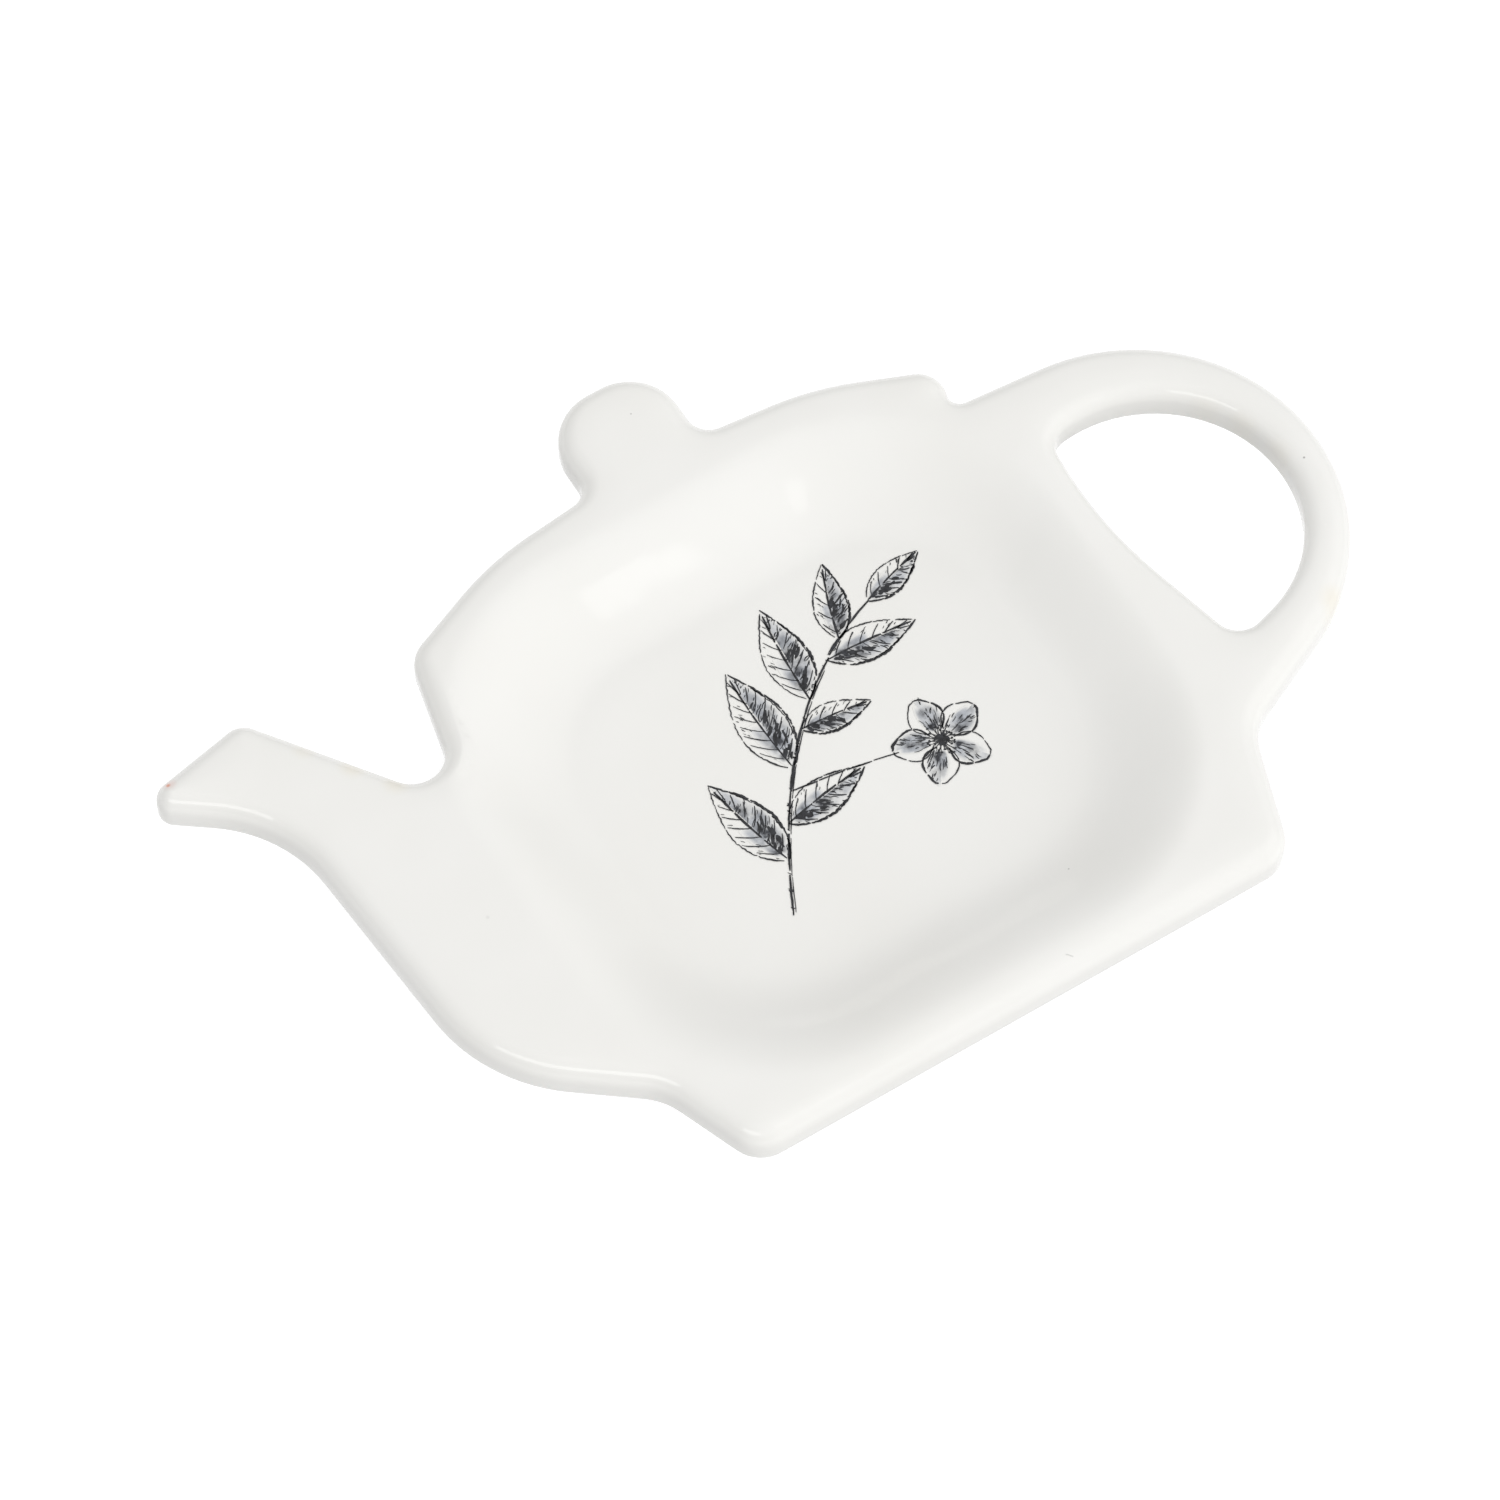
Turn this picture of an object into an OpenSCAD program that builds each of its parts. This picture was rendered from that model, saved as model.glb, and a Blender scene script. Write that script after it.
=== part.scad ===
// Tea bag rest in the shape of a teapot: a shallow glazed ceramic dish with a
// printed floor, a spout, a knobbed lid and a looped handle, all in one casting.
// Drawn flat with the belly's centre line on x = 0 and the base edge on y = 0,
// then moved so that the origin is the middle of the footprint on the table.

/* [Teapot outline] */
// Width between the two corners of the straight base edge
base_w = 64; // [60:0.5:67]
// Rounding of the two base corners
base_r = 4; // [2.6:0.2:4.6]
// Reach of the waist, where the flared base meets the belly, to the left
waist_x = 36.3; // [35:0.2:38]
// Height of the waist above the base edge
waist_y = 11.2; // [9:0.2:13]
// Inward rounding at the waist
waist_r = 7.2; // [4:0.2:8]
// Reach of the belly's lower corner to the left of the centre line
belly_x = 50.7; // [48:0.5:53]
// Height of the belly's lower corner above the base edge
belly_y = 22.3; // [20:0.5:24]
// Rounding of the belly's lower corner
belly_r = 19.6; // [14:0.5:21]
// Reach of the bend under the spout
throat_x = 53.3; // [51:0.5:55]
// Height of the bend under the spout
throat_y = 57.6; // [55:0.5:59]
// Inward rounding of the bend under the spout
throat_r = 15.8; // [10:0.5:17]
// Height of the body to the middle of the domed lid
body_y = 72.5; // [70:0.5:75]
// Height of the knob's top above the base edge
knob_y = 84.2; // [81:0.2:88]

/* [Spout] */
// Reach of the spout's lower tip to the left of the centre line
tip_x = 65.8; // [63:0.5:69]
// Height of the spout's lower tip above the base edge
tip_y = 66.9; // [65:0.5:68.5]
// Rounding of the spout's lower tip
tip_r = 1.9; // [1.9:0.1:2.4]
// Reach of the spout's upper tip
lip_x = 51.3; // [49:0.5:54]
// Height of the spout's upper tip
lip_y = 69.8; // [69:0.5:73]
// Rounding of the spout's upper tip
lip_r = 2.6; // [1.9:0.1:3]
// Reach of the bottom of the notch between spout and lid
notch_x = 36.5; // [35:0.2:38]
// Height of the bottom of the notch above the base edge
notch_y = 49.2; // [46:0.5:52]
// Rounding at the bottom of the notch
notch_r = 3.4; // [2:0.5:4.5]

/* [Lid and knob] */
// Width between the two corners of the lid
lid_w = 64.8; // [63:0.5:67]
// Height of the lid's corners above the base edge
lid_y = 67.2; // [66:0.2:69]
// Rounding of the lid's left corner
lid_left_r = 3.5; // [2:0.1:4.5]
// Rounding of the lid's right corner
lid_right_r = 3.2; // [2:0.1:4]
// Width between the two bends of the lid's dome
dome_w = 39.4; // [36:0.5:42]
// Rounding of the lid's dome
dome_r = 34; // [24:1:40]
// Width of the knob
knob_w = 13.7; // [12:0.2:15]
// Height at which the knob leaves the lid
knob_foot_y = 73.8; // [73.2:0.2:75]
// Inward rounding where the knob leaves the lid
knob_foot_r = 2.4; // [1:0.2:3]
// Rounding of the knob's two upper corners
knob_r = 6; // [4:0.1:6]

/* [Handle] */
// Distance from the centre line at which the loop meets the belly
neck_x = 36.9; // [36.4:0.1:38]
// Height at which the loop meets the belly
neck_y = 14.5; // [12:0.5:16]
// Inward rounding where the loop meets the belly
neck_r = 7; // [4:0.2:8]
// Distance of the loop's centre from the centre line
loop_x = 39.4; // [38:0.2:41]
// Height of the loop's centre above the base edge
loop_y = 39.9; // [38.5:0.2:41]
// Outer radius of the loop
loop_r = 22; // [21:0.2:23.5]
// Distance from the centre line at which the loop leaves the lid
ear_x = 30.9; // [29.5:0.2:31.5]
// Height at which the loop leaves the lid
ear_y = 62.7; // [62.2:0.1:63.6]
// Inward rounding where the loop leaves the lid
ear_r = 1.2; // [1:0.1:2]
// Radius of the finger hole's round side
hole_r = 15.1; // [13.5:0.1:15.5]
// Distance of the finger hole's centre from the centre line
hole_x = 41.5; // [41:0.1:42.5]
// Height of the finger hole's centre
hole_y = 39.3; // [38.5:0.1:40.5]
// Distance of the finger hole's upper corner from the centre line
hole_top_x = 37.4; // [36.8:0.1:38.5]
// Height of the finger hole's upper corner
hole_top_y = 54; // [53.9:0.1:55]
// Distance of the finger hole's lower corner from the centre line
hole_low_x = 41.1; // [40.5:0.1:42.5]
// Height of the finger hole's lower corner
hole_low_y = 23.5; // [22.5:0.1:23.7]
// Distance of the bend in the finger hole's straighter side from the centre line
hole_side_x = 36.3; // [35.5:0.1:37]
// Height of that bend
hole_side_y = 42.8; // [38:0.2:45]
// Rounding of that bend
hole_side_r = 50; // [30:1:55]
// Rounding of the finger hole's two corners
hole_corner_r = 2.7; // [1.5:0.1:3]

/* [Section] */
// Overall height on the table
rim_z = 10.6; // [9.5:0.1:12]
// Thickness of the rim, the spout and the handle
rim_t = 5.4; // [4.8:0.1:6]
// Rounding of the rim's upper edge
edge_r = 1.9; // [1.4:0.1:1.9]
// Rounding of the rim's lower edge
under_r = 1.4; // [1:0.1:1.8]
// Thickness of the dish's floor
floor_t = 3.8; // [3:0.1:4.4]
// Thickness of the glaze
glaze_t = 0.3; // [0.2:0.05:0.4]

/* [Well] */
// Distance of the well's mouth from the centre line on the spout side
mouth_left = 38; // [36:0.5:38.5]
// Distance of the well's mouth from the centre line on the handle side
mouth_right = 34; // [32:0.5:34.5]
// Distance of the well's mouth from the base edge
mouth_low = 2.6; // [2.4:0.2:5]
// Height of the well's mouth at the lid
mouth_high = 69.3; // [67:0.1:70]
// Corner rounding of the well's mouth
mouth_r = 23; // [21:1:26]
// Reach of the flat floor from the centre line on the spout side
floor_left = 25.5; // [22:0.5:27]
// Reach of the flat floor from the centre line on the handle side
floor_right = 24; // [22:0.5:25]
// Distance of the flat floor from the base edge
floor_low = 16; // [15:0.5:19]
// Height of the flat floor's far side
floor_high = 56.5; // [55:0.5:59]
// Corner rounding of the flat floor
floor_r = 14; // [9:0.5:16]

/* [Print] */
// Middle of the print, measured from the centre line
print_x = 1.5; // [-1:0.5:3]
// Middle of the print, measured from the base edge
print_y = 38.5; // [37:0.5:40]
// Width of the printed sprig
print_w = 36; // [28:1:37]
// Height of the printed sprig
print_h = 33; // [26:1:34]
// Length of the longest leaf
leaf_len = 13; // [9:0.5:14]
// Width of the longest leaf
leaf_w = 5.4; // [3.6:0.2:6]
// Length of a petal
petal_len = 5; // [4:0.2:5.4]
// Width of a petal
petal_w = 3.8; // [3:0.2:4.2]
// Width of a pen line
line_w = 0.35; // [0.25:0.05:0.5]
// Thickness of the fired ink
ink_t = 0.06; // [0.04:0.01:0.1]

/* [Foot] */
// Height of the unglazed foot ring
foot_h = 1; // [0.8:0.1:1.4]
// Width of the foot ring's flat tread
foot_w = 2.6; // [2:0.1:3.4]

/* [Hidden] */

// Overrun of cuts past the faces that they open
over = 1;
// Largest gap between an arc and its chords
chord = 0.06;
// Steps of a rounded edge, and of the slope into the well
upper_steps = 3;
under_steps = 2;
slope_steps = 9;

// Direction of a plane vector, in degrees
function heading(v) = atan2(v[1], v[0]);
function dir(a) = [cos(a), sin(a)];
function wrap(a) = a > 180 ? a - 360 : a < -180 ? a + 360 : a;

// Points of one rounded corner of a closed path that runs with its material on
// the left. A corner is [x, y, radius], and "inset" moves it inwards. A fourth
// value is the radius whose number of chords the corner takes.
function corner(before, at, after, inset) =
    let (in = heading([at[0] - before[0], at[1] - before[1]]),
         turn = wrap(heading([after[0] - at[0], after[1] - at[1]]) - in),
         side = turn > 0 ? 1 : -1,
         out = dir(in + 90 + turn / 2),
         r = max(at[2] - side * inset, chord),
         centre = [at[0], at[1]] + (inset + side * r) / cos(turn / 2) * out,
         drawn_r = len(at) > 3 ? at[3] : at[2],
         steps = max(2, ceil(abs(turn) / (2 * acos(1 - chord / max(drawn_r, chord))))))
    [for (i = [0:steps]) centre - side * r * dir(in + 90 + turn * i / steps)];

// The whole closed path, moved inwards by inset
function path(corners, inset) =
    let (n = len(corners))
    [for (i = [0:n - 1])
        each corner(corners[(i + n - 1) % n], corners[i], corners[(i + 1) % n], inset)];

// Angle at which a line from a point meets a circle, on its right or left side
function touch(point, centre, r, side) =
    heading(point - centre) + side * acos(r / norm(point - centre));

// The one corner whose rounding follows a circle from angle a to angle b
function loop_corner(centre, r, a, b) =
    let (at = centre + r / cos((b - a) / 2) * dir((a + b) / 2))
    [at[0], at[1], r];

loop_c = [loop_x, loop_y];
loop_from = touch([neck_x, neck_y], loop_c, loop_r, 1);
loop_to = touch([ear_x, ear_y], loop_c, loop_r, -1);
OUTLINE = [
    [base_w / 2, 0, base_r],
    [neck_x, neck_y, neck_r],
    loop_corner(loop_c, loop_r, loop_from, loop_to),
    [ear_x, ear_y, ear_r],
    [lid_w / 2, lid_y, lid_right_r],
    [dome_w / 2, body_y, dome_r],
    [knob_w / 2, knob_foot_y, knob_foot_r],
    [knob_w / 2, knob_y, knob_r],
    [-knob_w / 2, knob_y, knob_r],
    [-knob_w / 2, knob_foot_y, knob_foot_r],
    [-dome_w / 2, body_y, dome_r],
    [-lid_w / 2, lid_y, lid_left_r],
    [-notch_x, notch_y, notch_r],
    [-lip_x, lip_y, lip_r],
    [-tip_x, tip_y, tip_r],
    [-throat_x, throat_y, throat_r],
    [-belly_x, belly_y, belly_r],
    [-waist_x, waist_y, waist_r],
    [-base_w / 2, 0, base_r]];

hole_c = [hole_x, hole_y];
hole_from = touch([hole_top_x, hole_top_y], hole_c, hole_r, -1);
hole_to = touch([hole_low_x, hole_low_y], hole_c, hole_r, 1);
HOLE = [
    [hole_top_x, hole_top_y, hole_corner_r],
    loop_corner(hole_c, hole_r, hole_from, hole_to),
    [hole_low_x, hole_low_y, hole_corner_r],
    [hole_side_x, hole_side_y, hole_side_r]];

// Heights of the well's floor and of the rim's underside
well_z = foot_h + floor_t;
under_z = rim_z - rim_t;

// How far the bowl's outside lies beyond the well's flat floor, how far it is
// drawn in below the well's mouth, and how far it laps into the plate
bowl_grow = 2.4;
bowl_draw = 1;
bowl_lap = 0.6;
FOOT = tray(floor_left, floor_right, floor_low, floor_high, floor_r);

// Middle of the footprint
xs = [for (p = path(OUTLINE, 0)) p[0]];
ys = [for (p = path(OUTLINE, 0)) p[1]];
home = [(min(xs) + max(xs)) / 2, (min(ys) + max(ys)) / 2, 0];

// Smooth step from 0 to 1 along a slope
function ease(t) = t * t * (3 - 2 * t);
function mix(a, b, t) = a + (b - a) * t;

// Corners of a rounded rectangle
function tray(left, right, low, high, r) =
    [[-left, low, r, mouth_r], [right, low, r, mouth_r],
     [right, high, r, mouth_r], [-left, high, r, mouth_r]];

// One flat ring, and the solid of a chain of convex rings
module level(ring) polyhedron(ring, [[for (i = [0:len(ring) - 1]) i]]);
module stack(rings) {
    for (i = [1:len(rings) - 1]) hull() {
        level(rings[i - 1]);
        level(rings[i]);
    }
}

// A solid of rings of any one outline, stacked from the lowest to the highest
module slab(rings) {
    n = len(rings[0]);
    m = len(rings);
    polyhedron(
        [for (ring = rings) each ring],
        [[for (i = [0:n - 1]) i],
         [for (i = [0:n - 1]) m * n - 1 - i],
         for (j = [0:m - 2]) for (i = [0:n - 1])
            [j * n + i, (j + 1) * n + i, (j + 1) * n + (i + 1) % n, j * n + (i + 1) % n]]);
}

// Rounded edge of the rim from its flat underside up to its flat top, as
// [inset, height] pairs
function edge(skin) = [
    for (i = [0:under_steps])
        let (a = 90 * i / under_steps, r = under_r - skin)
        [skin + r * (1 - sin(a)), under_z + skin + r * (1 - cos(a))],
    for (i = [upper_steps:-1:0])
        let (a = 90 * i / upper_steps, r = edge_r - skin)
        [skin + r * (1 - sin(a)), rim_z - skin - r * (1 - cos(a))]];

// A path lifted to one inset and height
function ring(corners, at) = [for (p = path(corners, at[0])) [p[0], p[1], at[1]]];

// Rings of a slope that runs from the flat floor up to the well's mouth, grown
// by one amount at the floor and by another at the mouth
function slope(floor_grow, mouth_grow, floor_z, mouth_z) =
    [for (i = [0:slope_steps])
        let (t = i / slope_steps,
             grow = mix(floor_grow, mouth_grow, t),
             corners = tray(mix(floor_left, mouth_left, t) + grow,
                            mix(floor_right, mouth_right, t) + grow,
                            mix(floor_low, mouth_low, t) - grow,
                            mix(floor_high, mouth_high, t) + grow,
                            mix(floor_r, mouth_r, t) + grow))
        ring(corners, [0, mix(floor_z, mouth_z, ease(t))])];

// The plate with its rounded edge, drilled by the finger hole, whose edges are
// rounded the same way. Skin is how far its surfaces lie inside the glazed one.
module plate(skin) {
    section = edge(skin);
    last = len(section) - 1;
    difference() {
        slab([for (at = section) ring(OUTLINE, at)]);
        stack([
            ring(HOLE, section[0] + [over * tan(45 / under_steps), 0] - [0, over]),
            for (i = [1:last - 1]) ring(HOLE, section[i]),
            ring(HOLE, section[last] + [0, over])]);
    }
}

// The bowl that hangs under the plate round the well
module bowl(skin) {
    stack(slope(bowl_grow - skin, -bowl_draw - skin, foot_h + skin, under_z + bowl_lap));
}

// The dished space over the floor, open above the rim
module well(skin) {
    hollow = slope(skin, skin, well_z - skin, rim_z - skin);
    mouth = hollow[len(hollow) - 1];
    stack([each hollow, [for (p = mouth) p + [0, 0, over]]]);
}

// The whole casting without its foot ring
module casting(skin) {
    difference() {
        union() {
            plate(skin);
            bowl(skin);
        }
        well(skin);
    }
}

// The foot ring's tread, seen from above
module tread() {
    difference() {
        polygon(path(FOOT, 0));
        polygon(path(FOOT, foot_w));
    }
}

// The print's own frame lies on the well's floor
STEM_SHARES = [[-0.42, -0.48], [-0.14, 0.16], [0.3, 0.34]];
BLOSSOM_SHARES = [0.24, -0.2];
function on_print(shares) = [shares[0] * print_w, shares[1] * print_h];
stem_from = on_print(STEM_SHARES[0]);
stem_bend = on_print(STEM_SHARES[1]);
stem_to = on_print(STEM_SHARES[2]);
blossom_at = on_print(BLOSSOM_SHARES);
// Leaves as [share of the stem's length, turn away from it, size share]
LEAF_SHARES = [
    [0.14, 42, 0.92], [0.24, -48, 0.8], [0.4, 40, 1], [0.52, -52, 0.62],
    [0.62, 44, 0.9], [0.76, -38, 0.8], [0.84, 40, 0.7], [1, -4, 0.62]];
// Where the blossom's stalk leaves the stem
stalk_share = 0.33;
rib_share = 0.85;
rib_end_share = 0.4;
stem_end_share = 0.6;
swell_share = 0.8;
eye_r = 1.1;
blossom_turn = 20;
stem_steps = 10;
blade_steps = 12;

// Point and heading of the stem at a share of its length
function stem_at(t) =
    (1 - t) * (1 - t) * stem_from + 2 * t * (1 - t) * stem_bend + t * t * stem_to;
function stem_heading(t) =
    heading((1 - t) * (stem_bend - stem_from) + t * (stem_to - stem_bend));

// A pen line through a list of points, thinning towards its end
module pen(points, end_share) {
    n = len(points) - 1;
    for (i = [1:n]) hull() {
        translate(points[i - 1]) circle(d = line_w * mix(1, end_share, (i - 1) / n), $fn = 8);
        translate(points[i]) circle(d = line_w * mix(1, end_share, i / n), $fn = 8);
    }
}

// A pointed blade from the origin along +x, fullest near its stalk
function blade_edge(length, width, side) =
    [for (i = [0:blade_steps])
        let (u = i / blade_steps)
        [length * u, side * width / 2 * sin(180 * pow(u, swell_share))]];
module blade(length, width) {
    lower = blade_edge(length, width, -1);
    polygon([each blade_edge(length, width, 1), for (i = [blade_steps - 1:-1:1]) lower[i]]);
}

// The blade's pen outline and midrib, or the wash on its shaded half
module drawn_blade(length, width, wash) {
    if (wash)
        polygon(blade_edge(length, width, -1));
    else {
        difference() {
            blade(length, width);
            offset(delta = -line_w) blade(length, width);
        }
        pen([[0, 0], [length * rib_share, 0]], rib_end_share);
    }
}

// All leaves and petals, as lines or as wash
module foliage(wash) {
    for (leaf = LEAF_SHARES)
        translate(stem_at(leaf[0])) rotate(stem_heading(leaf[0]) + leaf[1])
            drawn_blade(leaf[2] * leaf_len, leaf[2] * leaf_w, wash);
    translate(blossom_at) for (i = [0:4]) rotate(blossom_turn + 72 * i)
        translate([eye_r - line_w, 0]) drawn_blade(petal_len, petal_w, wash);
}

module line_drawing() {
    pen([for (i = [0:stem_steps]) stem_at(i / stem_steps)], stem_end_share);
    pen([stem_at(stalk_share), blossom_at], stem_end_share);
    foliage(false);
    translate(blossom_at) circle(eye_r, $fn = 24);
}

// Lifts a drawing on to the well's floor as a film of fired ink
module fired_on() {
    translate([print_x, print_y, well_z] - home) linear_extrude(ink_t) children();
}

module clay_body() {
    color("ivory") translate(-home) casting(glaze_t);
}

module foot_ring() {
    color("linen") translate(-home) linear_extrude(foot_h + glaze_t) tread();
}

module glaze_coat() {
    color("white") translate(-home) difference() {
        casting(0);
        casting(glaze_t);
        linear_extrude(foot_h + glaze_t) tread();
    }
}

module print_line_ink() {
    color("black") fired_on() line_drawing();
}

// The wash keeps a hair clear of the lines
module print_grey_wash() {
    color("silver") fired_on() offset(delta = -line_w / 8) difference() {
        foliage(true);
        line_drawing();
    }
}

clay_body();
foot_ring();
glaze_coat();
print_line_ink();
print_grey_wash();
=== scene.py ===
import math
import random

import bmesh
import bpy
import numpy as np
from mathutils import Matrix, Vector, geometry


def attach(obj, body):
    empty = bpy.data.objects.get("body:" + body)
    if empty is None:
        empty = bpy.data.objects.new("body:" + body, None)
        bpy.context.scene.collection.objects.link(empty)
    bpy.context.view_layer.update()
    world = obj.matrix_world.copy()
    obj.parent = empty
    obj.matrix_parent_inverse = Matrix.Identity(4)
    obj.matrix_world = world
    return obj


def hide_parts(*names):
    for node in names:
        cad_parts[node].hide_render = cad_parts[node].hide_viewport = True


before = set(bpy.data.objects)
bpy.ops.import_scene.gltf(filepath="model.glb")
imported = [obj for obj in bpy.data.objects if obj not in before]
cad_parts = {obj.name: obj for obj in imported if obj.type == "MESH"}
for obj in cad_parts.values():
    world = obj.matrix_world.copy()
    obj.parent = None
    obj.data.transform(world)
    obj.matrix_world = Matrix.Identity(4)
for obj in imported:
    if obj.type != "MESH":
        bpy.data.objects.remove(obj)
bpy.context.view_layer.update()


# The camera stands in front of the dish, to the left of its middle, and looks down
# on it at about 62 degrees. A long lens keeps the outline nearly free of perspective.

look_down = math.radians(61.79)
look_round = math.radians(31.93)
aim = Vector((-0.00731, -0.00224, 0.0079))
distance = 0.9229

ahead = Vector((math.cos(look_down) * math.sin(look_round),
                math.cos(look_down) * math.cos(look_round), -math.sin(look_down)))
across = Vector((math.cos(look_round), -math.sin(look_round), 0))
upward = across.cross(ahead)
camera = bpy.data.objects.new("camera", bpy.data.cameras.new("camera"))
bpy.context.scene.collection.objects.link(camera)
camera.matrix_world = Matrix.Translation(aim - distance * ahead) @ Matrix(
    (across, upward, -ahead)).transposed().to_4x4()
camera.data.lens = 216
camera.data.sensor_width = 36
camera.data.clip_start = 0.01
camera.data.clip_end = 20
bpy.context.scene.camera = camera
bpy.context.scene.view_settings.view_transform = "Standard"


# The cast body is white clay, fired once before glazing. The glaze covers all of it
# but the foot, so it is the part's own solid with the colour of plain fired clay.

def new_material(name):
    material = bpy.data.materials.new(name)
    material.use_nodes = True
    nodes = material.node_tree.nodes
    return material, nodes["Principled BSDF"], nodes, material.node_tree.links


def place_in_mm(nodes, links):
    """The point's place in millimetres, for textures of real size."""
    spot = nodes.new("ShaderNodeTexCoord")
    grow = nodes.new("ShaderNodeVectorMath")
    grow.operation = "SCALE"
    grow.inputs["Scale"].default_value = 1000
    links.new(spot.outputs["Object"], grow.inputs[0])
    return grow.outputs["Vector"]


def clay_grain():
    """Fine grain of fired clay: a colour, and a height for its bump."""
    group = bpy.data.node_groups.new("clay grain", "ShaderNodeTree")
    face = group.interface
    face.new_socket("Place", in_out="INPUT", socket_type="NodeSocketVector")
    for name in ("Pale", "Dark"):
        face.new_socket(name, in_out="INPUT", socket_type="NodeSocketColor")
    face.new_socket("Colour", in_out="OUTPUT", socket_type="NodeSocketColor")
    face.new_socket("Height", in_out="OUTPUT", socket_type="NodeSocketFloat")
    nodes, links = group.nodes, group.links
    given, result = nodes.new("NodeGroupInput"), nodes.new("NodeGroupOutput")
    cloud, grit = nodes.new("ShaderNodeTexNoise"), nodes.new("ShaderNodeTexNoise")
    cloud.inputs["Scale"].default_value = 0.25
    cloud.inputs["Detail"].default_value = 4
    grit.inputs["Scale"].default_value = 7
    grit.inputs["Detail"].default_value = 3
    for noise in (cloud, grit):
        links.new(given.outputs["Place"], noise.inputs["Vector"])
    both = nodes.new("ShaderNodeMath")
    both.operation = "MULTIPLY_ADD"
    both.inputs[1].default_value = 0.6
    links.new(grit.outputs["Fac"], both.inputs[0])
    links.new(cloud.outputs["Fac"], both.inputs[2])
    spread = nodes.new("ShaderNodeMapRange")
    spread.inputs["From Min"].default_value = 0.62
    spread.inputs["From Max"].default_value = 1.0
    links.new(both.outputs["Value"], spread.inputs["Value"])
    colour = nodes.new("ShaderNodeMix")
    colour.data_type = "RGBA"
    links.new(spread.outputs["Result"], colour.inputs["Factor"])
    links.new(given.outputs["Pale"], colour.inputs["A"])
    links.new(given.outputs["Dark"], colour.inputs["B"])
    links.new(colour.outputs["Result"], result.inputs["Colour"])
    links.new(grit.outputs["Fac"], result.inputs["Height"])
    return group


grain_of_clay = clay_grain()


def bare_clay(name, pale, dark, depth):
    material, surface, nodes, links = new_material(name)
    grain = nodes.new("ShaderNodeGroup")
    grain.node_tree = grain_of_clay
    grain.inputs["Pale"].default_value = (*pale, 1)
    grain.inputs["Dark"].default_value = (*dark, 1)
    links.new(place_in_mm(nodes, links), grain.inputs["Place"])
    links.new(grain.outputs["Colour"], surface.inputs["Base Color"])
    bump = nodes.new("ShaderNodeBump")
    bump.inputs["Strength"].default_value = 0.6
    bump.inputs["Distance"].default_value = depth
    links.new(grain.outputs["Height"], bump.inputs["Height"])
    links.new(bump.outputs["Normal"], surface.inputs["Normal"])
    surface.inputs["Roughness"].default_value = 0.82
    return material


fired_clay = bare_clay("fired clay", (0.82, 0.79, 0.73), (0.72, 0.68, 0.61), 0.00004)
clay_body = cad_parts["clay_body"]
clay_body.data.materials.clear()
clay_body.data.materials.append(fired_clay)


# The foot ring is the one place that the potter wipes free of glaze, because the
# dish stands on it in the kiln. It is bare clay with softened edges and a ground,
# slightly grey tread.

# sizes are in millimetres, from the belly's centre line and the base edge
footprint_middle = (-0.873874, 42.1)
rim_z, rim_under, floor_z, foot_z = 10.6, 5.2, 4.8, 1.0

# the well's rounded rectangles: left, right, low and high sides, and corner radius
well_floor, well_mouth = (-25.5, 24, 16, 56.5, 14), (-38, 34, 2.6, 69.3, 23)
sharpest_r = 0.06


def corner_points(before, at, after, inset, gap):
    """Points of one rounded corner, moved inwards. Chords stay within gap of the arc."""
    come = math.atan2(at[1] - before[1], at[0] - before[0])
    turn = math.atan2(after[1] - at[1], after[0] - at[0]) - come
    turn = (turn + math.pi) % (2 * math.pi) - math.pi
    side = 1 if turn > 0 else -1
    r = max(at[2] - side * inset, sharpest_r)
    reach = (inset + side * r) / math.cos(turn / 2)
    way = come + math.pi / 2 + turn / 2
    cx, cy = at[0] + reach * math.cos(way), at[1] + reach * math.sin(way)
    steps = max(3, math.ceil(abs(turn) / (2 * math.acos(1 - gap / max(at[2], 1)))))
    angles = [come + math.pi / 2 + turn * i / steps for i in range(steps + 1)]
    return [(cx - side * r * math.cos(a), cy - side * r * math.sin(a)) for a in angles]


def edge_path(corners, inset, gap=0.012, stride=1.0):
    """A closed path with rounded corners, its straight runs cut into short steps."""
    def arcs(depth):
        n = len(corners)
        return [corner_points(corners[i - 1], corners[i], corners[(i + 1) % n], depth, gap)
                for i in range(n)]
    outer, moved, points = arcs(0), arcs(inset), []
    for i, arc in enumerate(moved):
        points += arc
        (x0, y0), (x1, y1) = outer[i][-1], outer[(i + 1) % len(outer)][0]
        count = max(1, round(math.hypot(x1 - x0, y1 - y0) / stride))
        (x0, y0), (x1, y1) = arc[-1], moved[(i + 1) % len(moved)][0]
        points += [(x0 + (x1 - x0) * k / count, y0 + (y1 - y0) * k / count)
                   for k in range(1, count)]
    return points


def to_metres(x, y, z):
    return ((x - footprint_middle[0]) / 1000, (y - footprint_middle[1]) / 1000, z / 1000)


def piece_from(name, points, faces, material, slot, *nodes_replaced):
    """A smooth-shaded object from points in millimetres."""
    mesh = bpy.data.meshes.new(name)
    mesh.from_pydata([to_metres(*p) for p in points], [], faces)
    mesh.validate()
    mesh.shade_smooth()
    piece = bpy.data.objects.new(name, mesh)
    bpy.context.scene.collection.objects.link(piece)
    mesh.materials.append(material)
    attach(piece, "root")
    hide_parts(*nodes_replaced)
    return piece


def ring_band(faces, first, second, count):
    """Quads between two closed rings of the same number of points."""
    for i in range(count):
        j = (i + 1) % count
        faces.append((first + i, first + j, second + j, second + i))


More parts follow.
